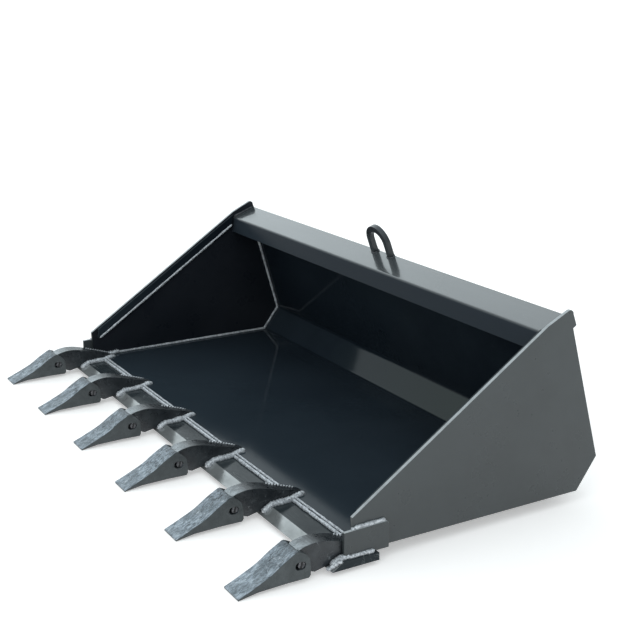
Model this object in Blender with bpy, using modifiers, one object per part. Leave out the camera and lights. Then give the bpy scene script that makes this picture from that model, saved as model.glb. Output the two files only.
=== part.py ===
"""Skid steer bucket with six pinned teeth, modelled piece by piece.

Frame: X runs across the bucket, +Y points to the machine, the teeth point to -Y, +Z is up.
The origin is the centre of the cutting edge's underside. All lengths are in metres.
"""
import math

import bmesh
import bpy
from mathutils import Matrix, Vector

# ---- driving dimensions -------------------------------------------------------------------
GAP = 0.0003                    # space left between pieces that touch
CUT_MARGIN = 0.05               # how far a cutter runs past what it cuts

EDGE_LENGTH = 1.524             # cutting edge, overall width of the bucket
EDGE_DEPTH = 0.110
EDGE_THICKNESS = 0.016
EDGE_BEVEL_RUN = 0.0256         # how far the bevel reaches back from the lip

SIDE_OUTER_X = 0.7435           # outer face of a side plate
SIDE_THICKNESS = 0.008
SIDE_INNER_X = SIDE_OUTER_X - SIDE_THICKNESS
SIDE_BAR_THICKNESS = 0.008
SIDE_BAR_HEIGHT = 0.028         # measured upright on the slanted bar
SIDE_BAR_SETBACK = 0.0036       # below the plate's top edge
SIDE_BAR_START_Y = 0.020
SIDE_BAR_END_GAP = 0.0019       # from the bar's rear end to the rail's lip
SIDE_LOWER_AND_REAR = [(0.006, 0.020), (0.594, 0.020), (0.647, 0.093), (0.5553, 0.4052), (0.5642, 0.4105)]
SIDE_CORNER_CENTRE = (0.5440, 0.4370)
SIDE_CORNER_RADIUS = 0.010
SIDE_CORNER_SWEEP = math.radians(112)
SIDE_TOP_BEND = (0.4854, 0.4197)
SIDE_TOP_FRONT = (0.0014, 0.0969)
WEAR_PLATE_THICKNESS = 0.008
WEAR_PLATE_OUTLINE = [(-0.022, 0.0166), (0.0845, 0.0166), (0.0845, 0.070), (0.079, 0.0757), (-0.022, 0.0727)]

SHEET = 0.006                   # shell and rail plate thickness
SHELL_FRONT_Y = 0.0277          # front edge of the floor, lapped on the cutting edge
SHELL_BEND = (0.590, EDGE_THICKNESS + GAP + SHEET)
SHELL_KNEE = (0.6405, 0.089)
SHELL_TOP = (0.5458, 0.4180)
SHELL_BEND_RADIUS = 0.016       # inside radius of the shell's two bends
RAIL_BEND_RADIUS = 0.0085       # outside radius of the rail's front bend
RAIL_LIP_BOTTOM = (0.4799, 0.3573)
RAIL_FRONT = (0.4834, 0.4020)
RAIL_REAR = (0.5548, 0.4285)

TOOTH_COUNT = 6
TOOTH_PITCH = 0.2885
TOOTH_WIDTH = 0.062
SOCKET_CLEARANCE = 0.0005
SOCKET_WIDTH = 0.040 + 2 * SOCKET_CLEARANCE
PIN_CENTRE = (-0.1176, 0.0285)
PIN_RADIUS = 0.0082
PIN_LENGTH = 0.057
PIN_HOLE_RADIUS = 0.0085
PIN_SLOT_SHIFT = 0.0070         # the tooth's hole is stretched forward by this much

LOOP_X = 0.020
LOOP_ARC_HEIGHT = 0.038         # centre of the loop's arc above the rail's top face
LOOP_OUTER_RADIUS = 0.046
LOOP_INNER_RADIUS = 0.030
LOOP_THICKNESS = 0.014
LOOP_SETBACK = 0.0085           # from the rail's rear edge to the loop's middle plane

ATTACH_HALF_WIDTH = 0.540
ATTACH_PLATE_THICKNESS = 0.008
ATTACH_PLATE_SPAN = (0.045, 0.245)      # up the back, from the knee
RIB_THICKNESS = 0.010
SHELF_THICKNESS = 0.012
LOCK_SLOT_SIZE = (0.070, 0.026)
LOCK_SLOT_X = 0.405

HOOK_RISE = 0.013               # from the attach plate's top to the hook rail's foot
HOOK_OUTLINE = [                # (up from the foot, out from the back)
    (0.000, 0.000), (0.065, 0.000), (0.065, 0.012), (0.034, 0.056), (-0.007, 0.074),
    (-0.011, 0.065), (0.020, 0.051), (0.043, 0.018), (0.000, 0.010)]
SHELF_DROP = 0.012              # from the attach plate's foot down to the shelf's top
SHELF_DEPTH = 0.062
LOCK_SLOT_OUT = 0.022           # from the back to the slot's near edge
RIB_OUTLINE = [(0.012, 0.000), (0.012, 0.064), (0.318, 0.044), (0.318, 0.000)]
RIB_CORNER_RADIUS = 0.006

FINE_EDGE = 0.0008              # widths of the broken edges
EDGE_BREAK = 0.0010
CAST_EDGE = 0.0012
LOOP_EDGE = 0.0048
WELD_DISTANCE = 0.00001         # vertices closer than this are one
ROUND_STEPS = 8                 # segments in a quarter turn of a small round outline
PIN_SEGMENTS = 32

# Black paint, bare cast steel and pin steel: colour, roughness, metallic
PAINT = ((0.030, 0.033, 0.038), 0.28, 0.0)
RAIL_PAINT = ((0.060, 0.064, 0.070), 0.22, 0.0)
CAST = ((0.19, 0.20, 0.21), 0.48, 0.7)
PIN_STEEL = ((0.10, 0.10, 0.11), 0.42, 0.8)


# ---- scene and collections ----------------------------------------------------------------
def clear_scene():
    for scene_object in list(bpy.data.objects):
        bpy.data.objects.remove(scene_object, do_unlink=True)


def make_collection(name):
    collection = bpy.data.collections.new(name)
    bpy.context.scene.collection.children.link(collection)
    return collection


clear_scene()
PARTS = make_collection("skid_steer_bucket")
CUTTERS = make_collection("cutters")


def make_material(name, finish):
    colour, roughness, metallic = finish
    material = bpy.data.materials.new(name)
    material.use_nodes = True
    shader = material.node_tree.nodes["Principled BSDF"]
    shader.inputs["Base Color"].default_value = (*colour, 1.0)
    shader.inputs["Roughness"].default_value = roughness
    shader.inputs["Metallic"].default_value = metallic
    return material


# ---- outlines -----------------------------------------------------------------------------
def rounded(points, radius):
    """Replace each corner of a closed outline by an arc of the given radius."""
    result = []
    count = len(points)
    for index, corner in enumerate(points):
        here = Vector(corner)
        before = (Vector(points[index - 1]) - here).normalized()
        after = (Vector(points[(index + 1) % count]) - here).normalized()
        opening = before.angle(after)
        reach = radius / math.tan(opening / 2)
        centre = here + (before + after).normalized() * radius / math.sin(opening / 2)
        start = here + before * reach - centre
        end = here + after * reach - centre
        for step in range(ROUND_STEPS + 1):
            blend = start.lerp(end, step / ROUND_STEPS).normalized() * radius
            result.append(tuple(centre + blend))
    return result


def offset_outline(points, distance):
    """Grow a closed counter-clockwise outline outwards by a distance."""
    result = []
    count = len(points)
    for index, corner in enumerate(points):
        here = Vector(corner)
        incoming = (here - Vector(points[index - 1])).normalized()
        outgoing = (Vector(points[(index + 1) % count]) - here).normalized()
        normal_in = Vector((incoming.y, -incoming.x))
        normal_out = Vector((outgoing.y, -outgoing.x))
        middle = (normal_in + normal_out).normalized()
        result.append(tuple(here + middle * distance / middle.dot(normal_in)))
    return result


def flowing(points, steps=3):
    """A smooth line through a few points (Catmull-Rom), with the given steps between neighbours."""
    line = [Vector(point) for point in points]
    padded = [2 * line[0] - line[1]] + line + [2 * line[-1] - line[-2]]
    result = []
    for index in range(1, len(padded) - 2):
        before, start, end, after = padded[index - 1:index + 3]
        for step in range(steps):
            share = step / steps
            place = start + (end - before) * share / 2
            place += (2 * before - 5 * start + 4 * end - after) * share ** 2 / 2
            place += (3 * start - before - 3 * end + after) * share ** 3 / 2
            result.append(tuple(place))
    return result + [tuple(line[-1])]


def arc(centre, radius, start_angle, end_angle, steps):
    """Points along an arc, angles in radians."""
    points = []
    for step in range(steps + 1):
        angle = start_angle + (end_angle - start_angle) * step / steps
        points.append((centre[0] + radius * math.cos(angle), centre[1] + radius * math.sin(angle)))
    return points


# An outline drawn in the YZ plane stands upright and its thickness runs along X.
YZ_PLANE = Matrix(((0, 0, 1, 0), (1, 0, 0, 0), (0, 1, 0, 0), (0, 0, 0, 1)))
XZ_PLANE = Matrix(((1, 0, 0, 0), (0, 0, -1, 0), (0, 1, 0, 0), (0, 0, 0, 1)))
XY_PLANE = Matrix.Identity(4)


# ---- makers -------------------------------------------------------------------------------
def plate(name, outlines, thickness, plane, centre, collection=PARTS):
    """A flat piece cut to a closed outline; further outlines are its holes."""
    curve = bpy.data.curves.new(name + "_outline", "CURVE")
    curve.dimensions = "2D"
    curve.fill_mode = "BOTH"
    curve.extrude = thickness / 2
    for outline in outlines:
        spline = curve.splines.new("POLY")
        spline.points.add(len(outline) - 1)
        for point, place in zip(spline.points, outline):
            point.co = (place[0], place[1], 0, 1)
        spline.use_cyclic_u = True
    drawing = bpy.data.objects.new(name + "_drawing", curve)
    collection.objects.link(drawing)
    bpy.context.view_layer.update()
    mesh = mesh_of(drawing)
    bpy.data.objects.remove(drawing, do_unlink=True)
    piece = bpy.data.objects.new(name, mesh)
    mesh.transform(plane)
    collection.objects.link(piece)
    piece.location = centre
    return piece


def mesh_of(source):
    """The evaluated mesh of an object, welded and facing outwards."""
    depsgraph = bpy.context.evaluated_depsgraph_get()
    mesh = bpy.data.meshes.new_from_object(source.evaluated_get(depsgraph))
    sheet = bmesh.new()
    sheet.from_mesh(mesh)
    bmesh.ops.remove_doubles(sheet, verts=sheet.verts, dist=WELD_DISTANCE)
    bmesh.ops.recalc_face_normals(sheet, faces=sheet.faces)
    sheet.to_mesh(mesh)
    sheet.free()
    return mesh


def bent_sheet(name, profile, half_length, thickness, bend_radius):
    """A sheet bent along X: an open profile in YZ, drawn out and given its thickness."""
    sheet = bmesh.new()
    corner_points = ROUND_STEPS + 1
    bends = rounded(profile, bend_radius)[corner_points:-corner_points]
    bent = [profile[0]] + bends + [profile[-1]]
    corners = [sheet.verts.new((-half_length, y, z)) for y, z in bent]
    edges = []
    for first, second in zip(corners, corners[1:]):
        edges.append(sheet.edges.new((first, second)))
    drawn = bmesh.ops.extrude_edge_only(sheet, edges=edges)
    moved = [item for item in drawn["geom"] if isinstance(item, bmesh.types.BMVert)]
    bmesh.ops.translate(sheet, verts=moved, vec=(2 * half_length, 0, 0))
    mesh = bpy.data.meshes.new(name)
    sheet.to_mesh(mesh)
    sheet.free()
    piece = bpy.data.objects.new(name, mesh)
    PARTS.objects.link(piece)
    solidify = piece.modifiers.new("thickness", "SOLIDIFY")
    solidify.thickness = thickness
    solidify.offset = -1.0
    solidify.use_even_offset = True
    return piece


def cylinder_along_x(name, radius, length, centre, collection):
    bpy.ops.mesh.primitive_cylinder_add(
        vertices=PIN_SEGMENTS, radius=radius, depth=length, location=(0, 0, 0),
        rotation=(0, math.pi / 2, 0))
    piece = bpy.context.object
    piece.name = name
    for owner in list(piece.users_collection):
        owner.objects.unlink(piece)
    collection.objects.link(piece)
    bpy.ops.object.transform_apply(location=False, rotation=True, scale=True)
    piece.location = centre
    return piece


def as_cutter(piece):
    piece.hide_render = True
    piece.display_type = "WIRE"
    return piece


def combine(piece, other, operation):
    boolean = piece.modifiers.new(operation.lower() + "_" + other.name, "BOOLEAN")
    boolean.operation = operation
    boolean.solver = "EXACT"
    boolean.object = other


def soften(piece, width, segments=2):
    bevel = piece.modifiers.new("edge_break", "BEVEL")
    bevel.width = width
    bevel.segments = segments
    bevel.limit_method = "ANGLE"
    bevel.angle_limit = math.radians(35)


def finish(piece, material):
    piece.data.materials.clear()
    piece.data.materials.append(material)
    piece.data.shade_smooth()
    piece.data.set_sharp_from_angle(angle=math.radians(30))


# ---- shell, sides and rail ----------------------------------------------------------------
def build_shell(material):
    profile = [(SHELL_FRONT_Y, SHELL_BEND[1]), SHELL_BEND, SHELL_KNEE, SHELL_TOP]
    shell = bent_sheet("shell_plate", profile, SIDE_INNER_X - GAP, SHEET, SHELL_BEND_RADIUS)
    finish(shell, material)


def side_outline():
    """The side plate's outline, from its front corner round the bottom, the back and the top."""
    corner = arc(SIDE_CORNER_CENTRE, SIDE_CORNER_RADIUS, 0.0, SIDE_CORNER_SWEEP, ROUND_STEPS)
    return SIDE_LOWER_AND_REAR + corner + [SIDE_TOP_BEND, SIDE_TOP_FRONT]


def build_sides(material):
    slope = (SIDE_TOP_BEND[1] - SIDE_TOP_FRONT[1]) / (SIDE_TOP_BEND[0] - SIDE_TOP_FRONT[0])
    bar_start = SIDE_BAR_START_Y
    bar_end = RAIL_LIP_BOTTOM[0] - SIDE_BAR_END_GAP
    start_top = SIDE_TOP_FRONT[1] + (bar_start - SIDE_TOP_FRONT[0]) * slope - SIDE_BAR_SETBACK
    end_top = SIDE_TOP_FRONT[1] + (bar_end - SIDE_TOP_FRONT[0]) * slope - SIDE_BAR_SETBACK
    bar_outline = [
        (bar_start, start_top - SIDE_BAR_HEIGHT), (bar_end, end_top - SIDE_BAR_HEIGHT),
        (bar_end, end_top), (bar_start, start_top)]
    for side, sign in (("left", -1), ("right", 1)):
        side_centre = sign * (SIDE_INNER_X + SIDE_THICKNESS / 2)
        side_plate = plate("side_plate_" + side, [side_outline()], SIDE_THICKNESS, YZ_PLANE,
                           (side_centre, 0, 0))
        soften(side_plate, FINE_EDGE, 1)
        finish(side_plate, material)
        bar_centre = sign * (SIDE_INNER_X - GAP - SIDE_BAR_THICKNESS / 2)
        bar = plate("side_bar_" + side, [bar_outline], SIDE_BAR_THICKNESS, YZ_PLANE, (bar_centre, 0, 0))
        soften(bar, CAST_EDGE)
        finish(bar, material)
        wear_centre = sign * (SIDE_OUTER_X + GAP + WEAR_PLATE_THICKNESS / 2)
        wear = plate("corner_wear_plate_" + side, [WEAR_PLATE_OUTLINE], WEAR_PLATE_THICKNESS, YZ_PLANE,
                     (wear_centre, 0, 0))
        soften(wear, EDGE_BREAK)
        finish(wear, material)


def build_rail(material):
    profile = [RAIL_LIP_BOTTOM, RAIL_FRONT, RAIL_REAR]
    rail = bent_sheet("top_rail", profile, SIDE_INNER_X - GAP, SHEET, RAIL_BEND_RADIUS)
    finish(rail, material)


def build_lifting_loop(material):
    """A flat loop with two feet, square to the rail's sloping top face."""
    centre = (LOOP_X, LOOP_ARC_HEIGHT)
    outline = arc(centre, LOOP_OUTER_RADIUS, 0.0, math.pi, 4 * ROUND_STEPS)
    inner = arc(centre, LOOP_INNER_RADIUS, math.pi, 0.0, 4 * ROUND_STEPS)
    outline.append((LOOP_X - LOOP_OUTER_RADIUS, GAP))
    outline.append((LOOP_X - LOOP_INNER_RADIUS, GAP))
    outline += inner
    outline.append((LOOP_X + LOOP_INNER_RADIUS, GAP))
    outline.append((LOOP_X + LOOP_OUTER_RADIUS, GAP))
    along = (Vector(RAIL_REAR) - Vector(RAIL_FRONT)).normalized()
    foot = Vector(RAIL_REAR) - along * LOOP_SETBACK
    tilt = Matrix.Rotation(math.atan2(along.y, along.x), 4, "X")
    loop = plate("lifting_loop", [outline], LOOP_THICKNESS, tilt @ XZ_PLANE, (0, foot.x, foot.y))
    soften(loop, LOOP_EDGE, 3)
    finish(loop, material)


def build_cutting_edge(material):
    front = -EDGE_DEPTH / 2
    outline = [(front, 0), (-front, 0), (-front, EDGE_THICKNESS), (front + EDGE_BEVEL_RUN, EDGE_THICKNESS)]
    edge = plate("cutting_edge", [outline], EDGE_LENGTH, YZ_PLANE, (0, 0, 0))
    finish(edge, material)


# ---- teeth --------------------------------------------------------------------------------
TOOTH_EAR = flowing([
    (-0.0981, 0.0040), (-0.0984, 0.0290), (-0.1016, 0.0415), (-0.1094, 0.0510), (-0.1180, 0.0565),
    (-0.1260, 0.0602)], 2)
TOOTH_TOP = flowing([
    (-0.1310, 0.0590), (-0.1596, 0.0430), (-0.1866, 0.0250), (-0.2276, 0.0060), (-0.2576, -0.0065)])
TOOTH_BOTTOM = [(-0.2576, -0.0095), (-0.2150, -0.0028), (-0.1500, -0.0012), (-0.1020, -0.0018)]
ARCH_AND_STRAP = flowing([
    (0.0605, 0.0240), (0.0294, 0.0360), (-0.0136, 0.0495), (-0.0416, 0.0575), (-0.0616, 0.0620),
    (-0.0836, 0.0635), (-0.1056, 0.0605), (-0.1206, 0.0555)])
NOSE_TOP = [(-0.1280, 0.0510), (-0.1600, 0.0325), (-0.1900, 0.0140)]
NOSE_BOTTOM = [(-0.1880, 0.0060), (-0.0955, 0.0075)]
ADAPTER_UNDERSIDE = [
    (-0.0905, 0.0035), (-0.0830, 0.0010), (-0.0586, 0.0062), (-0.0445, 0.0070), (-0.0298, 0.0165),
    (SHELL_FRONT_Y - 0.0006, 0.0165), (SHELL_FRONT_Y - 0.0006, 0.0226), (0.0605, 0.0226)]
# What the tooth leaves free for the adapter: the nose, and everything behind the tooth's top edge
SOCKET = [
    NOSE_BOTTOM[0], (-0.0700, 0.0080), (-0.0700, 0.0900), (-0.1235, 0.0900), (-0.1235, 0.0540)] + NOSE_TOP
# Half widths of the adapter against Y, from the nose to the strap's tail
ADAPTER_HALF_PLAN = [
    (0.0200, -0.2000), (0.0200, -0.0200), (0.0185, 0.0100), (0.0150, 0.0400), (0.0115, 0.0620)]
# The end adapters are trimmed on their outer side, where the side plate stands
TRIMMED_HALF_PLAN = [
    (0.0200, -0.2000), (0.0200, 0.0020), (0.0138, 0.0030), (0.0134, 0.0400), (0.0115, 0.0620)]


def tooth_mesh():
    """One tooth: a wedge with a socket from behind and a hole across it."""
    outline = TOOTH_BOTTOM + TOOTH_EAR + TOOTH_TOP
    tooth = plate("tooth_blank", [outline], TOOTH_WIDTH, YZ_PLANE, (0, 0, 0))
    soften(tooth, CAST_EDGE)
    socket_outline = offset_outline(SOCKET, SOCKET_CLEARANCE)
    socket = plate("cut_socket", [socket_outline], SOCKET_WIDTH, YZ_PLANE, (0, 0, 0), CUTTERS)
    combine(tooth, as_cutter(socket), "DIFFERENCE")
    fore = (PIN_CENTRE[0] - PIN_SLOT_SHIFT, PIN_CENTRE[1])
    half_turn = 2 * ROUND_STEPS
    slot = arc(PIN_CENTRE, PIN_HOLE_RADIUS, -math.pi / 2, math.pi / 2, half_turn)
    slot += arc(fore, PIN_HOLE_RADIUS, math.pi / 2, 3 * math.pi / 2, half_turn)
    hole = plate("cut_pin_slot", [slot], TOOTH_WIDTH + CUT_MARGIN, YZ_PLANE, (0, 0, 0), CUTTERS)
    combine(tooth, as_cutter(hole), "DIFFERENCE")
    bpy.context.view_layer.update()
    mesh = mesh_of(tooth)
    bpy.data.objects.remove(tooth, do_unlink=True)
    return mesh


def adapter_mesh(left_plan, right_plan):
    """One weld-on adapter: nose inside the tooth, arched body, and a strap that tapers on the floor."""
    outline = NOSE_BOTTOM + ADAPTER_UNDERSIDE + ARCH_AND_STRAP + NOSE_TOP
    body = plate("adapter_blank", [outline], TOOTH_WIDTH, YZ_PLANE, (0, 0, 0))
    mirrored = [(-x, y) for x, y in reversed(left_plan)]
    taper = plate("adapter_plan", [right_plan + mirrored], 4 * TOOTH_WIDTH, XY_PLANE, (0, 0, 0), CUTTERS)
    combine(body, as_cutter(taper), "INTERSECT")
    hole = cylinder_along_x("cut_nose_hole", PIN_HOLE_RADIUS, TOOTH_WIDTH, (0, *PIN_CENTRE), CUTTERS)
    combine(body, as_cutter(hole), "DIFFERENCE")
    soften(body, EDGE_BREAK)
    bpy.context.view_layer.update()
    mesh = mesh_of(body)
    bpy.data.objects.remove(body, do_unlink=True)
    return mesh


def build_teeth(cast, pin_steel):
    tooth = tooth_mesh()
    middle = adapter_mesh(ADAPTER_HALF_PLAN, ADAPTER_HALF_PLAN)
    left_end = adapter_mesh(TRIMMED_HALF_PLAN, ADAPTER_HALF_PLAN)
    right_end = adapter_mesh(ADAPTER_HALF_PLAN, TRIMMED_HALF_PLAN)
    adapters = [left_end] + [middle] * (TOOTH_COUNT - 2) + [right_end]
    for number in range(TOOTH_COUNT):
        x = (number - (TOOTH_COUNT - 1) / 2) * TOOTH_PITCH
        for name, mesh in (("tooth", tooth), ("tooth_adapter", adapters[number])):
            piece = bpy.data.objects.new(f"{name}_{number + 1}", mesh)
            PARTS.objects.link(piece)
            piece.location = (x, 0, 0)
            finish(piece, cast)
        pin = cylinder_along_x(f"tooth_pin_{number + 1}", PIN_RADIUS, PIN_LENGTH, (x, *PIN_CENTRE), PARTS)
        soften(pin, EDGE_BREAK)
        finish(pin, pin_steel)


# ---- quick-attach frame on the back -------------------------------------------------------
def back_frame():
    """Origin on the back's outer face at the knee, with unit vectors up and out from the face."""
    knee = Vector(SHELL_KNEE)
    top = Vector(SHELL_TOP)
    upward = (top - knee).normalized()
    outward = Vector((upward.y, -upward.x))
    return knee + outward * (SHEET + GAP), upward, outward


def on_back(points):
    """Turn (up, out) pairs on the back face into YZ points."""
    base, upward, outward = back_frame()
    return [tuple(base + upward * up + outward * out) for up, out in points]


def build_attach(material):
    """The frame a loader picks the bucket up by: flat plate, hook rail, locking shelf and two ribs."""
    low, high = ATTACH_PLATE_SPAN
    thick = ATTACH_PLATE_THICKNESS
    width = 2 * ATTACH_HALF_WIDTH
    face = plate("attach_plate", [on_back([(low, 0), (high, 0), (high, thick), (low, thick)])], width,
                 YZ_PLANE, (0, 0, 0))
    finish(face, material)
    foot = high + HOOK_RISE
    hook_outline = on_back([(foot + up, out) for up, out in HOOK_OUTLINE])
    hook = plate("attach_hook_rail", [hook_outline], width, YZ_PLANE, (0, 0, 0))
    soften(hook, EDGE_BREAK)
    finish(hook, material)
    shelf_top = low - SHELF_DROP
    shelf_bottom = shelf_top - SHELF_THICKNESS
    shelf_outline = on_back([
        (shelf_bottom, 0), (shelf_top, 0), (shelf_top, SHELF_DEPTH), (shelf_bottom, SHELF_DEPTH)])
    shelf = plate("attach_lock_shelf", [shelf_outline], width, YZ_PLANE, (0, 0, 0))
    near = LOCK_SLOT_OUT
    far = LOCK_SLOT_OUT + LOCK_SLOT_SIZE[1]
    slot_outline = on_back([(-CUT_MARGIN, near), (low, near), (low, far), (-CUT_MARGIN, far)])
    for side, sign in (("left", -1), ("right", 1)):
        slot = plate("cut_lock_slot_" + side, [slot_outline], LOCK_SLOT_SIZE[0], YZ_PLANE,
                     (sign * LOCK_SLOT_X, 0, 0), CUTTERS)
        combine(shelf, as_cutter(slot), "DIFFERENCE")
        rib_outline = rounded(on_back(RIB_OUTLINE), RIB_CORNER_RADIUS)
        rib_centre = sign * (ATTACH_HALF_WIDTH + GAP + RIB_THICKNESS / 2)
        rib = plate("attach_rib_" + side, [rib_outline], RIB_THICKNESS, YZ_PLANE, (rib_centre, 0, 0))
        soften(rib, EDGE_BREAK)
        finish(rib, material)
    finish(shelf, material)


def main():
    paint = make_material("black_paint", PAINT)
    rail_paint = make_material("rail_paint", RAIL_PAINT)
    cast = make_material("cast_steel", CAST)
    pin_steel = make_material("pin_steel", PIN_STEEL)
    build_shell(paint)
    build_sides(paint)
    build_rail(rail_paint)
    build_lifting_loop(paint)
    build_cutting_edge(paint)
    build_teeth(cast, pin_steel)
    build_attach(paint)


main()
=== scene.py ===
"""Looks for the skid steer bucket: paint, cast steel, weld beads, studio light and the camera."""
import math

import bmesh
import bpy
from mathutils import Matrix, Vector, noise


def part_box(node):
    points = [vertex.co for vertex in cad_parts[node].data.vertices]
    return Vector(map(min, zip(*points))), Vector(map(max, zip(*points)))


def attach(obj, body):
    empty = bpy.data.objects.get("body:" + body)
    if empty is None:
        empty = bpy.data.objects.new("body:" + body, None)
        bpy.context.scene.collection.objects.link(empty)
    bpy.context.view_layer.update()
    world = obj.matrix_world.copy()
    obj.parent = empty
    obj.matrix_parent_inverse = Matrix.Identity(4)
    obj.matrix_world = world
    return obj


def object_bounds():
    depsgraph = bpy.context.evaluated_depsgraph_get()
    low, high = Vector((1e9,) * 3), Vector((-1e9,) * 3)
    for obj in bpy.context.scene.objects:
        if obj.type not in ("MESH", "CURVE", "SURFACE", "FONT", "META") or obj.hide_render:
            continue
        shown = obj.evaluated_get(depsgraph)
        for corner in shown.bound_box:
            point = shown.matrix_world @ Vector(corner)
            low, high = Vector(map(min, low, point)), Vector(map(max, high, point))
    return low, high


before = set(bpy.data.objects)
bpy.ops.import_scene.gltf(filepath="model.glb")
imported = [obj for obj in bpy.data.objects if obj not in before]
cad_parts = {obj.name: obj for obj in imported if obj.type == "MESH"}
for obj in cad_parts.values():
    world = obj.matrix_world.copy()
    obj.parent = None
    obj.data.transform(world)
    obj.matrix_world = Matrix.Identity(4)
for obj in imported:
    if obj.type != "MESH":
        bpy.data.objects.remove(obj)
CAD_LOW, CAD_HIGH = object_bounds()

# ---- sizes and places, in metres ----------------------------------------------------------
ROOT = "root"
TOOTH_COUNT = 6
END_TOOTH_X = 0.6                   # a tooth farther out than this stands at a side plate
SHEET = 0.006                       # thickness of the shell plate
SHELL_LOW, SHELL_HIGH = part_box("shell_plate")
INNER_X = SHELL_HIGH.x              # half the width between the side plates
FRONT_Y = SHELL_LOW.y               # the floor's front edge
FLOOR_TOP = SHELL_LOW.z + SHEET
EDGE_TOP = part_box("cutting_edge")[1].z
SIDE_PLATE_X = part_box("side_plate_right")[0].x      # its inner face
FLOOR_BEND_Y = 0.590                # where the floor bends up into the chamfer
BACK_KNEE = Vector((0.6405, 0.089))         # (Y, Z) of the bend between chamfer and back
BACK_TOP = Vector((0.5458, 0.4180))         # (Y, Z) of the back's upper end
SHARP_ANGLE = math.radians(40)      # edges sharper than this are broken for the render

# How a weld bead is built, then the radius of each kind
WELD_RING = 9                       # points round a weld bead
WELD_STEP = 0.28                    # spacing of a bead's rings, as a share of its radius
RIPPLE_PITCH = 0.95                 # length of one ripple, as a share of the radius
STRAP_RADIUS = 0.0080
SIDE_FRONT_RADIUS = 0.0070
WEAR_RADIUS = 0.0048
FLOOR_LOWER_RADIUS = 0.0044
SIDE_BAR_RADIUS = 0.0040
SIDE_RADIUS = 0.0036
ATTACH_RADIUS = 0.0036
RAIL_REAR_RADIUS = 0.0030
FLOOR_UPPER_RADIUS = 0.0028
RAIL_END_RADIUS = 0.0026
LOOP_RADIUS = 0.0026
SIDE_RIPPLE = 0.55                  # the beads inside the sides have the deepest ripples

# Where the welds run
FLOOR_WELD_STARTS = 0.022           # from a tooth's middle to the bay's weld on its right
FLOOR_WELD_ENDS = 0.020             # and to the bay's weld on its left
# A strap bead beside one adapter: (outwards from its middle, Y, Z)
STRAP_BEAD = [
    (0.0272, -0.052, 0.0065), (0.0270, -0.028, 0.0182), (0.0250, -0.002, 0.0180),
    (0.0228, 0.024, 0.0190), (0.0205, 0.044, 0.0225), (0.0178, 0.061, 0.0225)]
# The lumps where an end strap meets its side plate, and the two rows of small stitches on the left
# of every arch, all measured from the adapter's middle
LUMP_COUNT = 4
LUMP_START = Vector((0.0285, -0.056, 0.004))
LUMP_STEP = Vector((0.002, 0.007, 0.004))
LUMP_RADIUS = 0.0062
STITCH_COUNT = 9
STITCHES = [                        # (first, step, radius)
    (Vector((-0.0155, -0.018, 0.0508)), Vector((0.0007, 0.007, -0.0022)), 0.0027),
    (Vector((-0.0095, -0.014, 0.0500)), Vector((0.0004, 0.007, -0.0022)), 0.0020)]
SIDE_WELD_INSET = 0.0015            # from the side plate to the weld inside it
SIDE_WELD_TOP = (0.5480, 0.4000)    # (Y, Z) where the weld inside a side plate ends
SIDE_BAR_INSET = 0.0065             # from the side plate to the weld under its bar
SIDE_BAR_DROP = 0.0300              # from the side bar's top to the weld along its lower edge
WEAR_TOP_WELD = [(0.004, 0.0750), (0.0800, 0.0770)]     # (Y, Z) over the wear plate
WEAR_LUMP = (0.002, 0.074)          # (Y, Z) of the lump at its front end
WEAR_LUMP_RADIUS = 0.005
WEAR_LOW_WELD = (-0.014, 0.0500)    # Y where the weld under the wear plate starts and ends
RAIL_END_WELD = [(0.4860, 0.4050), (0.5500, 0.4288)]    # (Y, Z) down the rail's end
RAIL_REAR_WELD = (0.5530, 0.4190)   # (Y, Z) of the weld along the rail's rear
RAIL_SLOPE = math.radians(20.36)    # of the rail's top face
LOOP_FOOT = (0.5468, 0.4255)        # (Y, Z) of the lifting loop's foot on the rail
LOOP_FOOT_INSET = 0.009             # from the loop's outer side to the middle of a foot
LOOP_RING = (0.0105, 0.0085)        # half width and half depth of the weld round a foot
LOOP_RING_TURNS = 12
LOOP_RING_RISE = 0.0008             # above the rail's top face
ATTACH_OUT = 0.0018                 # from the back plate's outer face to the middle of a bead
ATTACH_INSET = 0.004                # from the end of a quick-attach piece to the end of its bead
# How far up the back each quick-attach piece starts and ends
ATTACH_SPANS = {
    "attach_hook_rail": (0.257, 0.324), "attach_lock_shelf": (0.020, 0.034),
    "attach_plate": (0.044, 0.246)}

# The rubber core of a retaining pin
CORE_THICKNESS = 0.0042
CORE_STAND_OUT = 0.0006             # past each end of the pin
CORE_HEIGHT_SHARE = 0.93            # of the pin's diameter
CORE_EDGE = 0.0006
CORE_TILT = math.radians(-14)

# Which way the sloping faces look
UP = (0, 0, 1)
DOWN = (0, 0, -1)
CHAMFER_FACE = (0, -0.797, 0.604)
BACK_OUTER_FACE = (0, 0.961, 0.277)
RAIL_FACE = (0, -0.348, 0.937)
BEVEL_FACE = (0, -0.53, 0.848)
TOOTH_FACE = (0, -0.45, 0.89)
ARCH_FACE = (0, -0.50, 0.86)

# Camera and studio
CAMERA_TARGET = Vector((0.0525, 0.3350, 0.2840))
CAMERA_DISTANCE = 3.029
CAMERA_AZIMUTH = math.radians(59.45)
CAMERA_ELEVATION = math.radians(16.12)
CAMERA_LENS = 66.7                  # mm
SENSOR_WIDTH = 36.0                 # mm
FLOOR_SIZE = 240.0
FLOOR_DROP = 0.0005                 # from the bucket's lowest point down to the floor
FLOOR_GLOW = 0.36
LIGHT_AIM = Vector((0.0, 0.25, 0.15))
BRIGHT_SKY = (-0.80, 0.13, 0.58)    # where the studio's large soft light hangs
BRIGHT_RIM = (0.900, 0.965)         # cosines of the angles at which it starts and is full
SKY_STRENGTH = 0.90
BRIGHT_STRENGTH = 2.0
BACKDROP_STRENGTH = 1.05            # what the camera sees behind the bucket
SKY_TINT = (0.87, 0.965, 1.0)


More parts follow.
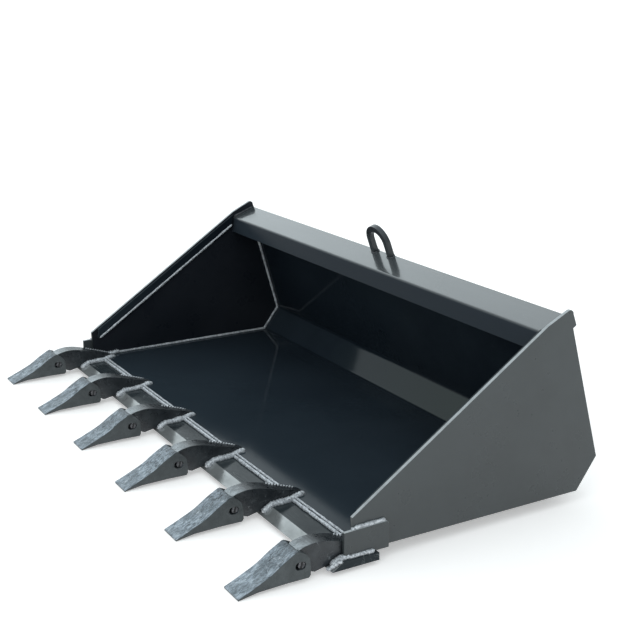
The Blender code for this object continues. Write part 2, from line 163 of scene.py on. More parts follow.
# ---- node helpers -------------------------------------------------------------------------
class Graph:
    """A material's node tree with short calls for the nodes used here."""

    def __init__(self, name):
        self.material = bpy.data.materials.new(name)
        self.material.use_nodes = True
        self.tree = self.material.node_tree
        self.shader = self.tree.nodes["Principled BSDF"]
        self.place = self.add("ShaderNodeTexCoord").outputs["Object"]

    def add(self, kind, **settings):
        node = self.tree.nodes.new(kind)
        for key, value in settings.items():
            setattr(node, key, value)
        return node

    def link(self, source, target):
        if isinstance(source, (int, float)):
            target.default_value = source
        elif isinstance(source, tuple):
            target.default_value = (*source, 1.0) if len(target.default_value) == 4 else source
        else:
            self.tree.links.new(source, target)

    def stretched(self, scale):
        mapping = self.add("ShaderNodeMapping")
        mapping.inputs["Scale"].default_value = scale
        self.link(self.place, mapping.inputs["Vector"])
        return mapping.outputs["Vector"]

    def noise(self, scale, detail=4.0, roughness=0.55, stretch=None, distortion=0.0):
        node = self.add("ShaderNodeTexNoise")
        self.link(self.stretched(stretch) if stretch else self.place, node.inputs["Vector"])
        node.inputs["Scale"].default_value = scale
        node.inputs["Detail"].default_value = detail
        node.inputs["Roughness"].default_value = roughness
        node.inputs["Distortion"].default_value = distortion
        return node.outputs["Fac"]

    def cells(self, scale):
        node = self.add("ShaderNodeTexVoronoi")
        self.link(self.place, node.inputs["Vector"])
        node.inputs["Scale"].default_value = scale
        return node.outputs["Distance"]

    def remap(self, value, low, high, out_low=0.0, out_high=1.0):
        node = self.add("ShaderNodeMapRange")
        self.link(value, node.inputs["Value"])
        node.inputs["From Min"].default_value = low
        node.inputs["From Max"].default_value = high
        node.inputs["To Min"].default_value = out_low
        node.inputs["To Max"].default_value = out_high
        return node.outputs["Result"]

    def maths(self, operation, first, second):
        node = self.add("ShaderNodeMath", operation=operation)
        self.link(first, node.inputs[0])
        self.link(second, node.inputs[1])
        return node.outputs["Value"]

    def mix(self, share, first, second):
        node = self.add("ShaderNodeMix", data_type="RGBA")
        self.link(share, node.inputs["Factor"])
        self.link(first, node.inputs["A"])
        self.link(second, node.inputs["B"])
        return node.outputs["Result"]

    def facing(self, direction, low, high):
        """How far a surface faces a direction, from its own normal."""
        geometry = self.add("ShaderNodeNewGeometry")
        dot = self.add("ShaderNodeVectorMath", operation="DOT_PRODUCT")
        self.link(geometry.outputs["Normal"], dot.inputs[0])
        dot.inputs[1].default_value = Vector(direction).normalized()
        return self.remap(dot.outputs["Value"], low, high)

    def position(self, axis):
        geometry = self.add("ShaderNodeNewGeometry")
        split = self.add("ShaderNodeSeparateXYZ")
        self.link(geometry.outputs["Position"], split.inputs["Vector"])
        return split.outputs[axis]

    def along(self, axis, low, high):
        """A ramp along one axis of the bucket's frame, 0 at low and 1 at high."""
        return self.remap(self.position(axis), low, high)

    def bump(self, height, strength, distance):
        node = self.add("ShaderNodeBump")
        node.inputs["Strength"].default_value = strength
        node.inputs["Distance"].default_value = distance
        self.link(height, node.inputs["Height"])
        self.link(node.outputs["Normal"], self.shader.inputs["Normal"])

    def surface(self, colour, roughness, metallic=0.0, coat=0.0, specular=0.5):
        """Fill in the shader. Each value is a number, a colour or another node's output."""
        self.link(colour, self.shader.inputs["Base Color"])
        self.link(roughness, self.shader.inputs["Roughness"])
        self.link(metallic, self.shader.inputs["Metallic"])
        self.link(specular, self.shader.inputs["Specular IOR Level"])
        self.link(coat, self.shader.inputs["Coat Weight"])
        self.shader.inputs["Coat Roughness"].default_value = 0.06
        return self.material


# ---- materials ----------------------------------------------------------------------------
def scratches(graph, scale, stretch, width):
    """Thin long lines, 1 on a scratch and 0 elsewhere."""
    lines = graph.noise(scale, 1.0, 0.4, stretch, 0.3)
    ridge = graph.maths("ABSOLUTE", graph.maths("SUBTRACT", lines, 0.5), 0.0)
    return graph.remap(ridge, 0.0, width, 1.0, 0.0)


def inner_paint(name):
    """Blue-black enamel: glossy and dusty inside the bucket, duller and worn on its outside. Inside,
    painted light makes the floor, the chamfer (its right half most) and the front of the bucket paler.
    """
    graph = Graph(name)
    cloud = graph.remap(graph.noise(2.6, 5.0, 0.6), 0.35, 0.68)
    colour = graph.mix(cloud, (0.0072, 0.0105, 0.0150), (0.0125, 0.0180, 0.0235))
    slant = graph.facing(CHAMFER_FACE, 0.93, 0.985)
    level = graph.maths("MAXIMUM", graph.facing(UP, 0.90, 0.98), slant)
    # Painted light: the floor and the chamfer, which face the sky, get a lighter copy of the paint.
    floor_painted_light = graph.mix(cloud, (0.0150, 0.0215, 0.0290), (0.0215, 0.0300, 0.0390))
    colour = graph.mix(level, colour, floor_painted_light)
    # Painted light: everything towards the front of the bucket is painted paler.
    lip = graph.along("Y", 0.36, 0.04)
    colour = graph.mix(graph.maths("MULTIPLY", lip, 0.55), colour, (0.026, 0.036, 0.045))
    lit = graph.maths("MULTIPLY", slant, graph.along("X", -0.35, 0.30))
    colour = graph.mix(lit, colour, (0.030, 0.041, 0.039))
    dust = graph.remap(graph.noise(60.0, 6.0, 0.7, (0.7, 1.0, 1.0)), 0.60, 0.80, 0.0, 0.35)
    colour = graph.mix(dust, colour, (0.030, 0.036, 0.040))
    backwards = graph.facing(BACK_OUTER_FACE, 0.3, 0.6)
    outside = graph.maths("MAXIMUM", backwards, graph.facing(DOWN, 0.5, 0.8))
    outer_cloud = graph.remap(graph.noise(5.0, 6.0, 0.62), 0.35, 0.68)
    outer = graph.mix(outer_cloud, (0.026, 0.031, 0.033), (0.040, 0.047, 0.050))
    rubs = graph.remap(graph.noise(40.0, 5.0, 0.7), 0.60, 0.72, 0.0, 0.5)
    outer = graph.mix(rubs, outer, (0.075, 0.080, 0.082))
    colour = graph.mix(outside, colour, outer)
    haze = graph.remap(graph.noise(8.0, 4.0, 0.6), 0.3, 0.75, 0.05, 0.10)
    haze = graph.maths("ADD", haze, graph.maths("MULTIPLY", outside, 0.24))
    waves = graph.maths("MULTIPLY", graph.noise(7.0, 2.0), 1.5)
    graph.bump(graph.maths("ADD", graph.noise(420.0, 2.0, 0.5), waves), 0.03, 0.0010)
    gloss = graph.remap(slant, 0.0, 1.0, 0.07, 0.26)
    gloss = graph.maths("MAXIMUM", gloss, graph.maths("MULTIPLY", outside, 0.5))
    return graph.surface(colour, haze, 0.0, 0.0, gloss)


def inner_face(graph, upward):
    """1 on the inner face of either side plate, 0 on its outer face and its upward edges."""
    from_middle = graph.maths("ABSOLUTE", graph.position("X"), 0.0)
    inner_half = graph.remap(from_middle, SIDE_PLATE_X + 0.0017, SIDE_PLATE_X + 0.0007)
    return graph.maths("MULTIPLY", inner_half, graph.maths("SUBTRACT", 1.0, upward))


def outer_paint(name, dark, light, rim, shade_inner_face=False):
    """Semi-gloss black enamel, worn paler on upward faces. Two-sided paint gets painted shade on its inner
    face, a darker copy of the same paint.
    """
    graph = Graph(name)
    cloud = graph.remap(graph.noise(3.6, 6.0, 0.62), 0.35, 0.68)
    colour = graph.mix(cloud, dark, light)
    patches = graph.remap(graph.noise(9.0, 3.0, 0.5), 0.62, 0.78, 0.0, 0.4)
    fine = graph.maths("MULTIPLY", scratches(graph, 26.0, (1.0, 0.5, 2.4), 0.005), patches)
    colour = graph.mix(fine, colour, (0.12, 0.13, 0.13))
    upward = graph.facing(UP, 0.35, 0.70)
    mottle = graph.remap(graph.noise(34.0, 5.0, 0.7), 0.25, 0.55, 0.55, 1.0)
    colour = graph.mix(graph.maths("MULTIPLY", upward, mottle), colour, rim)
    inside = inner_face(graph, upward) if shade_inner_face else 0.0
    # Painted shade: the inner face of a side plate is given a darker copy of the paint.
    inner_face_shade = graph.mix(cloud, (0.0100, 0.0122, 0.0165), (0.0160, 0.0185, 0.0235))
    colour = graph.mix(inside, colour, inner_face_shade)
    haze = graph.remap(graph.noise(14.0, 4.0, 0.6), 0.3, 0.75, 0.24, 0.42)
    waves = graph.maths("MULTIPLY", graph.noise(6.0, 2.0), 1.5)
    graph.bump(graph.maths("ADD", graph.noise(380.0, 2.0, 0.5), waves), 0.06, 0.0011)
    return graph.surface(colour, haze, 0.0, 0.0, graph.remap(inside, 0.0, 1.0, 0.5, 0.12))


def rail_paint(name):
    """The rail: clear gloss on the top face, nearly black and dull on its front lip."""
    graph = Graph(name)
    upward = graph.facing(RAIL_FACE, 0.55, 0.93)
    cloud = graph.remap(graph.noise(4.0, 5.0, 0.6, (0.3, 1.0, 1.0)), 0.35, 0.68)
    top = graph.mix(cloud, (0.046, 0.052, 0.056), (0.062, 0.068, 0.072))
    fine = graph.maths("MULTIPLY", scratches(graph, 24.0, (0.3, 2.2, 2.2), 0.006),
                       graph.remap(graph.noise(8.0, 3.0), 0.56, 0.72, 0.0, 0.6))
    top = graph.mix(fine, top, (0.20, 0.21, 0.22))
    colour = graph.mix(upward, (0.0200, 0.0270, 0.0350), top)
    rear_edge = graph.along("Y", 0.5530, 0.5545)
    colour = graph.mix(rear_edge, colour, (0.010, 0.012, 0.014))
    haze = graph.remap(graph.noise(12.0, 4.0, 0.6, (0.3, 1.0, 1.0)), 0.3, 0.75, 0.16, 0.26)
    graph.bump(graph.noise(380.0, 2.0, 0.5), 0.04, 0.0008)
    return graph.surface(colour, haze, 0.0, graph.remap(upward, 0.0, 1.0, 0.0, 0.45),
                         graph.remap(upward, 0.0, 1.0, 0.04, 0.45))


def edge_steel(name):
    """The cutting edge: dark paint, scratched along its length, with a painted reflection on the bevel: a
    pale grey there, mottled by noise.
    """
    graph = Graph(name)
    cloud = graph.remap(graph.noise(16.0, 6.0, 0.65, (0.5, 1.0, 1.0)), 0.32, 0.70)
    colour = graph.mix(cloud, (0.016, 0.021, 0.025), (0.034, 0.042, 0.046))
    # Painted reflection: the bevel, which faces forward and up, is painted pale grey.
    bevel = graph.facing(BEVEL_FACE, 0.90, 0.98)
    mottle = graph.remap(graph.noise(26.0, 5.0, 0.6, (0.5, 1.0, 1.0)), 0.30, 0.62)
    sheen_and_wear = graph.mix(mottle, (0.24, 0.25, 0.25), (0.36, 0.37, 0.37))
    colour = graph.mix(bevel, colour, sheen_and_wear)
    lines = graph.maths("MULTIPLY", scratches(graph, 30.0, (0.25, 2.4, 2.4), 0.010),
                        graph.remap(graph.noise(11.0, 2.0), 0.50, 0.64))
    colour = graph.mix(graph.maths("MULTIPLY", lines, 0.7), colour, (0.24, 0.26, 0.26))
    stains = graph.remap(graph.noise(38.0, 5.0, 0.7), 0.58, 0.70, 0.0, 0.6)
    colour = graph.mix(stains, colour, (0.022, 0.026, 0.027))
    rough = graph.remap(graph.noise(22.0, 4.0), 0.3, 0.7, 0.12, 0.22)
    graph.bump(graph.noise(240.0, 4.0, 0.6), 0.10, 0.0008)
    return graph.surface(colour, rough, graph.remap(bevel, 0.0, 1.0, 0.0, 0.55), 0.0,
                         graph.remap(bevel, 0.0, 1.0, 0.10, 0.6))


def tooth_steel(name):
    """An unpainted cast tooth: scuffed, pitted top face with a paler tip, smoother dark flanks."""
    graph = Graph(name)
    up = graph.facing(TOOTH_FACE, 0.55, 0.80)
    scuff = graph.remap(graph.noise(95.0, 9.0, 0.80, (1.5, 0.6, 1.0), 0.5), 0.44, 0.56)
    top = graph.mix(scuff, (0.120, 0.145, 0.170), (0.40, 0.455, 0.51))
    broad = graph.remap(graph.noise(24.0, 4.0, 0.6), 0.42, 0.58)
    top = graph.mix(graph.maths("MULTIPLY", broad, 0.60), top, (0.10, 0.12, 0.135))
    pits = graph.remap(graph.noise(120.0, 8.0, 0.80, (1.4, 0.6, 1.0), 1.0), 0.520, 0.560)
    patch = graph.remap(graph.noise(36.0, 3.0, 0.6), 0.46, 0.54)
    rearward = graph.remap(graph.along("Y", -0.235, -0.150), 0.0, 1.0, 0.35, 1.0)
    patch = graph.maths("MULTIPLY", patch, rearward)
    top = graph.mix(graph.maths("MULTIPLY", pits, patch), top, (0.018, 0.022, 0.026))
    gouge = graph.maths("MULTIPLY", scratches(graph, 60.0, (2.6, 0.35, 1.0), 0.020),
                        graph.remap(graph.noise(34.0, 2.0), 0.52, 0.60))
    top = graph.mix(graph.maths("MULTIPLY", gouge, 0.8), top, (0.55, 0.58, 0.62))
    flank = graph.mix(graph.remap(graph.noise(30.0, 6.0, 0.65), 0.35, 0.7),
                      (0.052, 0.060, 0.063), (0.078, 0.088, 0.092))
    colour = graph.mix(up, flank, top)
    rear = graph.maths("MULTIPLY", graph.along("Y", -0.142, -0.124), graph.facing(UP, 0.2, 0.6))
    colour = graph.mix(graph.maths("MULTIPLY", rear, 0.7), colour, (0.035, 0.040, 0.045))
    specks = graph.remap(graph.cells(210.0), 0.0, 0.15, 1.0, 0.0)
    specks = graph.maths("MULTIPLY", specks, graph.remap(graph.noise(24.0, 2.0), 0.55, 0.7, 0.0, 0.7))
    colour = graph.mix(specks, colour, (0.30, 0.32, 0.34))
    rough = graph.maths("ADD", graph.remap(graph.noise(90.0, 5.0, 0.7), 0.3, 0.7, 0.26, 0.52),
                        graph.remap(up, 0.0, 1.0, 0.08, 0.0))
    lumps = graph.maths("MULTIPLY", graph.noise(80.0, 5.0, 0.7), 2.2)
    graph.bump(graph.maths("ADD", graph.noise(330.0, 6.0, 0.75), lumps), 0.55, 0.0013)
    return graph.surface(colour, rough, 0.45)


def adapter_steel(name):
    """A welded adapter: dark glossy forging, with a painted highlight, partly wear, over the front of its
    arch.
    """
    graph = Graph(name)
    skin = graph.remap(graph.noise(40.0, 6.0, 0.65), 0.35, 0.68)
    colour = graph.mix(skin, (0.014, 0.017, 0.021), (0.036, 0.042, 0.047))
    # Painted highlight, partly wear: the front of the arch, facing forward and up, is painted pale in
    # noisy patches.
    front = graph.facing(ARCH_FACE, 0.88, 0.985)
    mottle = graph.remap(graph.noise(90.0, 8.0, 0.75, (1.0, 0.6, 1.0)), 0.40, 0.58)
    sheen_and_wear = graph.mix(mottle, (0.10, 0.115, 0.125), (0.32, 0.35, 0.37))
    colour = graph.mix(graph.maths("MULTIPLY", front, 0.9), colour, sheen_and_wear)
    nicks = graph.maths("MULTIPLY", scratches(graph, 70.0, (1.4, 0.6, 1.0), 0.012),
                        graph.remap(graph.noise(30.0, 2.0), 0.56, 0.66))
    colour = graph.mix(graph.maths("MULTIPLY", nicks, 0.7), colour, (0.26, 0.28, 0.30))
    rough = graph.remap(graph.noise(50.0, 5.0, 0.7), 0.3, 0.7, 0.20, 0.42)
    lumps = graph.maths("MULTIPLY", graph.noise(60.0, 4.0), 2.0)
    graph.bump(graph.maths("ADD", graph.noise(300.0, 5.0, 0.7), lumps), 0.40, 0.0012)
    return graph.surface(colour, rough, 0.30, 0.2)


def weld_metal(name, light, dark):
    """A weld bead, mottled and burnt darker in places."""
    graph = Graph(name)
    cloud = graph.remap(graph.noise(210.0, 6.0, 0.75), 0.40, 0.56)
    colour = graph.mix(cloud, dark, light)
    burnt = graph.remap(graph.noise(60.0, 4.0, 0.7), 0.60, 0.72, 0.0, 0.8)
    colour = graph.mix(burnt, colour, (0.09, 0.09, 0.10))
    rough = graph.remap(graph.noise(110.0, 3.0), 0.3, 0.7, 0.30, 0.55)
    graph.bump(graph.noise(430.0, 5.0, 0.7), 0.60, 0.0010)
    return graph.surface(colour, rough, 0.35)


def pin_steel(name):
    """Drawn steel, with fine lines along the pin."""
    graph = Graph(name)
    lines = graph.noise(300.0, 3.0, 0.5, (0.15, 1.0, 1.0))
    colour = graph.mix(graph.remap(lines, 0.35, 0.65), (0.055, 0.057, 0.062), (0.16, 0.16, 0.17))
    graph.bump(lines, 0.2, 0.0004)
    return graph.surface(colour, graph.remap(lines, 0.3, 0.7, 0.32, 0.5), 0.8)


def pin_rubber(name):
    """Dull black rubber with a fine grain."""
    graph = Graph(name)
    grain = graph.noise(600.0, 3.0, 0.6)
    colour = graph.mix(grain, (0.008, 0.008, 0.009), (0.022, 0.022, 0.024))
    graph.bump(grain, 0.3, 0.0004)
    return graph.surface(colour, graph.remap(grain, 0.3, 0.7, 0.6, 0.8))


PAINT = inner_paint("black_paint")
SIDE_PAINT = outer_paint(
    "side_paint", (0.034, 0.040, 0.042), (0.047, 0.055, 0.058), (0.36, 0.38, 0.39), shade_inner_face=True)
ATTACH_PAINT = outer_paint(
    "attach_paint", (0.024, 0.028, 0.030), (0.040, 0.046, 0.049), (0.085, 0.092, 0.096))
LOOP_PAINT = outer_paint("loop_paint", (0.012, 0.015, 0.018), (0.022, 0.026, 0.030), (0.050, 0.056, 0.062))
RAIL_PAINT = rail_paint("rail_paint")
EDGE = edge_steel("edge_steel")
TOOTH_CAST = tooth_steel("tooth_cast_steel")
ADAPTER_CAST = adapter_steel("adapter_cast_steel")
WELD = weld_metal("weld_metal", (0.66, 0.68, 0.71), (0.26, 0.27, 0.29))
PAINTED_WELD = weld_metal("painted_weld", (0.10, 0.105, 0.115), (0.02, 0.022, 0.025))
PIN = pin_steel("pin_steel")
RUBBER = pin_rubber("pin_rubber")


def dress(node, material, edge_width=0.0):
    """Give a CAD node its finish and, where a width is given, break its sharp edges."""
    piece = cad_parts[node]
    piece.data.materials.clear()
    piece.data.materials.append(material)
    if edge_width:
        edge_break = piece.modifiers.new("edge_break", "BEVEL")
        edge_break.width = edge_width
        edge_break.segments = 2
        edge_break.limit_method = "ANGLE"
        edge_break.angle_limit = SHARP_ANGLE


def dress_cad_nodes():
    dress("shell_plate", PAINT, edge_width=0.0015)
    dress("cutting_edge", EDGE, edge_width=0.0010)
    dress("top_rail", RAIL_PAINT)
    dress("lifting_loop", LOOP_PAINT)
    for side in ("left", "right"):
        dress("side_plate_" + side, SIDE_PAINT)
        dress("side_bar_" + side, PAINT)
        dress("corner_wear_plate_" + side, SIDE_PAINT)
        dress("attach_rib_" + side, ATTACH_PAINT)
    for node in ("attach_plate", "attach_hook_rail", "attach_lock_shelf"):
        dress(node, ATTACH_PAINT, edge_width=0.0008)
    for number in range(1, TOOTH_COUNT + 1):
        dress(f"tooth_{number}", TOOTH_CAST)
        dress(f"tooth_adapter_{number}", ADAPTER_CAST)
        dress(f"tooth_pin_{number}", PIN)


# ---- weld beads ---------------------------------------------------------------------------
def walk(points, step):
    """Evenly spaced places along a path, each with its direction."""
    places = []
    left_over = 0.0
    for start, end in zip(points, points[1:]):
        start, end = Vector(start), Vector(end)
        length = (end - start).length
        direction = (end - start).normalized()
        along = left_over
        while along < length:
            places.append((start + direction * along, direction))
            along += step
        left_over = along - length
    return places


def add_bead(sheet, points, radius, seed, ripple):
    """One weld bead: a tube along a path with overlapping ripples, wobble and rounded ends."""
    step = radius * WELD_STEP
    places = walk(points, step)
    rings = []
    for index, (place, direction) in enumerate(places):
        side = direction.cross(Vector(UP))
        if side.length < 0.1:
            side = direction.cross(Vector((0, 1, 0)))
        side.normalize()
        upward = side.cross(direction)
        along = index * step
        phase = (along / (radius * RIPPLE_PITCH)) % 1.0
        swell = 1.0 + ripple * (math.sin(math.pi * phase) - 0.6)
        swell *= 1.0 + 0.22 * noise.noise(Vector((along * 60.0, seed * 3.7, 0.0)))
        to_end = min(index, len(places) - 1 - index) * step
        swell *= math.sqrt(min(1.0, (to_end + 0.15 * step) / radius))
        wander = 0.16 * noise.noise(Vector((along * 45.0, 0.0, seed * 5.1)))
        middle = place + side * radius * wander
        ring = []
        for corner in range(WELD_RING):
            angle = 2 * math.pi * corner / WELD_RING
            lump = 1.0 + 0.14 * noise.noise(Vector((along * 210.0, corner * 1.9, seed * 2.3)))
            spread = (side * math.cos(angle) + upward * math.sin(angle)) * radius * swell * lump
            ring.append(sheet.verts.new(middle + spread))
        rings.append(ring)
    for near, far in zip(rings, rings[1:]):
        for corner in range(WELD_RING):
            after = (corner + 1) % WELD_RING
            sheet.faces.new((near[corner], near[after], far[after], far[corner]))
    sheet.faces.new(list(reversed(rings[0])))
    sheet.faces.new(rings[-1])


def add_blob(sheet, centre, radius, seed):
    """A lump of weld or spatter."""
    made = bmesh.ops.create_icosphere(sheet, subdivisions=2, radius=radius)
    for vertex in made["verts"]:
        lump = 1.0 + 0.35 * noise.noise(vertex.co / radius * 1.3 + Vector((seed, seed * 1.7, 0)))
        vertex.co = Vector(centre) + Vector((vertex.co.x, vertex.co.y, vertex.co.z * 0.75)) * lump


def weld(name, beads, material, blobs=(), ripple=0.20):
    """All the beads of one joint as a piece that rides on the welded body."""
    sheet = bmesh.new()
    for seed, (points, radius) in enumerate(beads):
        add_bead(sheet, points, radius, seed + len(name), ripple)
    for seed, (centre, radius) in enumerate(blobs):
        add_blob(sheet, centre, radius, seed + 0.37)
    bmesh.ops.recalc_face_normals(sheet, faces=sheet.faces)
    mesh = bpy.data.meshes.new(name)
    sheet.to_mesh(mesh)
    sheet.free()
    mesh.materials.append(material)
    mesh.shade_smooth()
    piece = bpy.data.objects.new(name, mesh)
    bpy.context.scene.collection.objects.link(piece)
    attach(piece, ROOT)


def tooth_x(number):
    low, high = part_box(f"tooth_{number}")
    return (low.x + high.x) / 2


def weld_floor_front():
    """The floor's front edge on the cutting edge: two beads in each bay between the adapters."""
    lower = (FRONT_Y - 0.0030, EDGE_TOP + 0.0022)
    upper = (FRONT_Y + 0.0035, FLOOR_TOP + 0.0006)
    beads = []
    for number in range(1, TOOTH_COUNT):
        start = tooth_x(number) + FLOOR_WELD_STARTS
        end = tooth_x(number + 1) - FLOOR_WELD_ENDS
        beads.append(([(start, *lower), (end, *lower)], FLOOR_LOWER_RADIUS))
        beads.append(([(start, *upper), (end, *upper)], FLOOR_UPPER_RADIUS))
    weld("weld_floor_front", beads, WELD)


def weld_adapters():
    """A thick bead on each side of every strap, small stitches, and lumps at the side plates."""
    beads = []
    blobs = []
    for number in range(1, TOOTH_COUNT + 1):
        centre = tooth_x(number)
        for sign in (-1, 1):
            if sign * centre > END_TOOTH_X:
                path = STRAP_BEAD[:3]
            else:
                path = STRAP_BEAD[:5 if sign < 0 else 6]
            beads.append(([(centre + sign * x, y, z) for x, y, z in path], STRAP_RADIUS))
        if abs(centre) > END_TOOTH_X:
            outward = math.copysign(1, centre)
            for index in range(LUMP_COUNT):
                lump = LUMP_START + LUMP_STEP * index
                blobs.append(((centre + outward * lump.x, lump.y, lump.z), LUMP_RADIUS))
        for index in range(STITCH_COUNT):
            for start, step, radius in STITCHES:
                blobs.append((Vector((centre, 0, 0)) + start + step * index, radius))
    weld("weld_adapters", beads, WELD, blobs)


def weld_side(side, sign):
    """The welds of one side: inside its plate, along its bar and round its wear plate."""
    x = sign * (INNER_X - SIDE_WELD_INSET)
    corner_path = [
        (x, FRONT_Y + 0.010, FLOOR_TOP + 0.002), (x, FLOOR_BEND_Y - 0.003, FLOOR_TOP + 0.002),
        (x, BACK_KNEE.x - 0.003, BACK_KNEE.y + 0.001), (x, *SIDE_WELD_TOP)]
    front_path = [(x, 0.008, EDGE_TOP + 0.006), (x, FRONT_Y + 0.060, FLOOR_TOP + 0.004)]
    beads = [(corner_path, SIDE_RADIUS), (front_path, SIDE_FRONT_RADIUS)]
    weld("weld_side_" + side, beads, WELD, ripple=SIDE_RIPPLE)

    bar_low, bar_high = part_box("side_bar_" + side)
    x = sign * (INNER_X - SIDE_BAR_INSET)
    lower_start = (x, bar_low.y + 0.004, bar_low.z + 0.001)
    lower_end = (x, bar_high.y - 0.002, bar_high.z - SIDE_BAR_DROP)
    weld("weld_side_bar_" + side, [([lower_start, lower_end], SIDE_BAR_RADIUS)], WELD)

    plate_low, plate_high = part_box("corner_wear_plate_right")
    x = sign * (plate_low.x + 0.0017)
    top_run = [(x, *place) for place in WEAR_TOP_WELD]
    lump = ((x, *WEAR_LUMP), WEAR_LUMP_RADIUS)
    x = sign * (plate_high.x + 0.0012)
    low_run = [(x, y, EDGE_TOP + 0.003) for y in WEAR_LOW_WELD]
    weld("weld_wear_plate_" + side, [(top_run, WEAR_RADIUS), (low_run, WEAR_RADIUS)], WELD, [lump])


def weld_rail():
    """Down the rail's two ends, and along the top of the back plate."""
    rail_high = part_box("top_rail")[1]
    beads = []
    for sign in (-1, 1):
        x = sign * (rail_high.x - 0.001)
        beads.append(([(x, *place) for place in RAIL_END_WELD], RAIL_END_RADIUS))
    reach = INNER_X - 0.02
    beads.append(([(-reach, *RAIL_REAR_WELD), (reach, *RAIL_REAR_WELD)], RAIL_REAR_RADIUS))
    weld("weld_top_rail", beads, PAINTED_WELD)


def weld_loop():
    """A ring round each foot of the lifting loop, on the rail's sloping top face."""
    loop_low, loop_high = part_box("lifting_loop")
    foot_y, foot_z = LOOP_FOOT
    beads = []
    for centre_x in (loop_low.x + LOOP_FOOT_INSET, loop_high.x - LOOP_FOOT_INSET):
        ring = []
        for turn in range(LOOP_RING_TURNS + 1):
            angle = 2 * math.pi * turn / LOOP_RING_TURNS
            x = centre_x + LOOP_RING[0] * math.cos(angle)
            y = foot_y + LOOP_RING[1] * math.sin(angle)
            z = foot_z + (y - foot_y) * math.tan(RAIL_SLOPE) + LOOP_RING_RISE
            ring.append((x, y, z))
        beads.append((ring, LOOP_RADIUS))
    weld("weld_lifting_loop", beads, PAINTED_WELD)


def weld_attach_frame():
    """Along the upper and lower line where each quick-attach piece meets the back plate."""
    upward = (BACK_TOP - BACK_KNEE).normalized()
    outward = Vector((upward.y, -upward.x))
    beads = []
    for node, span in ATTACH_SPANS.items():
        low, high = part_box(node)
        for rise in span:
            place = BACK_KNEE + outward * (SHEET + ATTACH_OUT) + upward * rise
            start = (low.x + ATTACH_INSET, place.x, place.y)
            end = (high.x - ATTACH_INSET, place.x, place.y)
            beads.append(([start, end], ATTACH_RADIUS))
    weld("weld_attach_frame", beads, PAINTED_WELD)


def build_welds():
    weld_floor_front()
    weld_adapters()
    weld_side("left", -1)
    weld_side("right", 1)
    weld_rail()
    weld_loop()
    weld_attach_frame()


# ---- retaining pins -----------------------------------------------------------------------
def build_pin_cores():
    """The rubber core of each retaining pin, seen as a dark band across its ends."""
    for number in range(1, TOOTH_COUNT + 1):
        low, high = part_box(f"tooth_pin_{number}")
        length = high.x - low.x + 2 * CORE_STAND_OUT
        height = (high.z - low.z) * CORE_HEIGHT_SHARE
        sheet = bmesh.new()
        bmesh.ops.create_cube(sheet, size=1.0)
        bmesh.ops.scale(sheet, verts=sheet.verts, vec=(length, CORE_THICKNESS, height))
        bmesh.ops.bevel(sheet, geom=sheet.edges[:], offset=CORE_EDGE, segments=2, affect="EDGES")
        mesh = bpy.data.meshes.new(f"tooth_pin_core_{number}")
        sheet.to_mesh(mesh)
        sheet.free()
        mesh.materials.append(RUBBER)
        core = bpy.data.objects.new(f"tooth_pin_core_{number}", mesh)
        core.rotation_euler = (CORE_TILT, 0, 0)
        core.location = (low + high) / 2
        bpy.context.scene.collection.objects.link(core)
        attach(core, f"pin_{number}")


# ---- stage --------------------------------------------------------------------------------
def stage_material():
    """Warm white ground with a faint grain. It glows a little, so that it comes out white."""
    graph = Graph("stage_floor")
    grain = graph.remap(graph.noise(30.0, 3.0), 0.3, 0.7)
    graph.shader.inputs["Emission Color"].default_value = (1.0, 1.0, 1.0, 1.0)
    graph.shader.inputs["Emission Strength"].default_value = FLOOR_GLOW
    colour = graph.mix(grain, (0.94, 0.900, 0.880), (0.96, 0.920, 0.900))
    return graph.surface(colour, 0.9, 0.0, 0.0, 0.1)


def build_floor():
    sheet = bmesh.new()
    bmesh.ops.create_grid(sheet, x_segments=2, y_segments=2, size=FLOOR_SIZE / 2)
    mesh = bpy.data.meshes.new("studio_floor")
    sheet.to_mesh(mesh)
    sheet.free()
    mesh.materials.append(stage_material())
    floor = bpy.data.objects.new("studio_floor", mesh)
    floor.location = (0, 0, CAD_LOW.z - FLOOR_DROP)
    bpy.context.scene.collection.objects.link(floor)


def softbox(name, direction, distance, width, height, radiance):
    """A rectangular light that faces the bucket from a direction, with a given surface brightness."""
    data = bpy.data.lights.new(name, "AREA")
    data.shape = "RECTANGLE"
    data.size = width
    data.size_y = height
    data.energy = radiance * math.pi * width * height
    light = bpy.data.objects.new(name, data)
    back = Vector(direction).normalized()
    light.location = LIGHT_AIM + back * distance
    light.rotation_mode = "QUATERNION"
    light.rotation_quaternion = back.to_track_quat("Z", "Y")
    light.visible_camera = False
    bpy.context.scene.collection.objects.link(light)


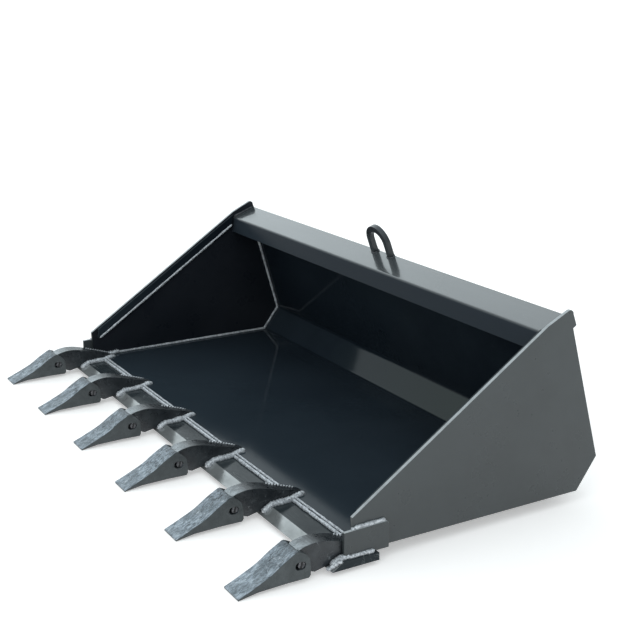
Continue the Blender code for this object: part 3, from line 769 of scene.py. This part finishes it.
def build_sky():
    """A cool white studio with one brighter region. The camera itself sees plain white."""
    world = bpy.data.worlds.new("studio")
    world.use_nodes = True
    nodes = world.node_tree.nodes
    link = world.node_tree.links.new
    direction = nodes.new("ShaderNodeTexCoord")
    nearness = nodes.new("ShaderNodeVectorMath")
    nearness.operation = "DOT_PRODUCT"
    nearness.inputs[1].default_value = Vector(BRIGHT_SKY).normalized()
    link(direction.outputs["Generated"], nearness.inputs[0])
    strength = nodes.new("ShaderNodeMapRange")
    strength.interpolation_type = "SMOOTHSTEP"
    strength.inputs["From Min"].default_value = BRIGHT_RIM[0]
    strength.inputs["From Max"].default_value = BRIGHT_RIM[1]
    strength.inputs["To Min"].default_value = SKY_STRENGTH
    strength.inputs["To Max"].default_value = BRIGHT_STRENGTH
    link(nearness.outputs["Value"], strength.inputs["Value"])
    path = nodes.new("ShaderNodeLightPath")
    seen = nodes.new("ShaderNodeMix")
    seen.inputs["B"].default_value = BACKDROP_STRENGTH
    link(path.outputs["Is Camera Ray"], seen.inputs["Factor"])
    link(strength.outputs["Result"], seen.inputs["A"])
    tint = nodes.new("ShaderNodeMix")
    tint.data_type = "RGBA"
    tint.inputs["A"].default_value = (*SKY_TINT, 1.0)
    tint.inputs["B"].default_value = (1.0, 1.0, 1.0, 1.0)
    link(path.outputs["Is Camera Ray"], tint.inputs["Factor"])
    link(seen.outputs["Result"], nodes["Background"].inputs["Strength"])
    link(tint.outputs["Result"], nodes["Background"].inputs["Color"])
    bpy.context.scene.world = world


def build_light():
    build_sky()
    softbox("softbox_front", (0.55, -0.75, 0.62), distance=4.2, width=1.8, height=1.4, radiance=1.3)
    bpy.context.scene.view_settings.view_transform = "Standard"


def build_camera():
    data = bpy.data.cameras.new("camera")
    data.lens = CAMERA_LENS
    data.sensor_width = SENSOR_WIDTH
    camera = bpy.data.objects.new("camera", data)
    flat = math.cos(CAMERA_ELEVATION)
    back = Vector((
        math.sin(CAMERA_AZIMUTH) * flat, -math.cos(CAMERA_AZIMUTH) * flat, math.sin(CAMERA_ELEVATION)))
    camera.location = CAMERA_TARGET + back * CAMERA_DISTANCE
    camera.rotation_mode = "QUATERNION"
    camera.rotation_quaternion = (-back).to_track_quat("-Z", "Y")
    bpy.context.scene.collection.objects.link(camera)
    bpy.context.scene.camera = camera


dress_cad_nodes()
build_welds()
build_pin_cores()
build_floor()
build_light()
build_camera()
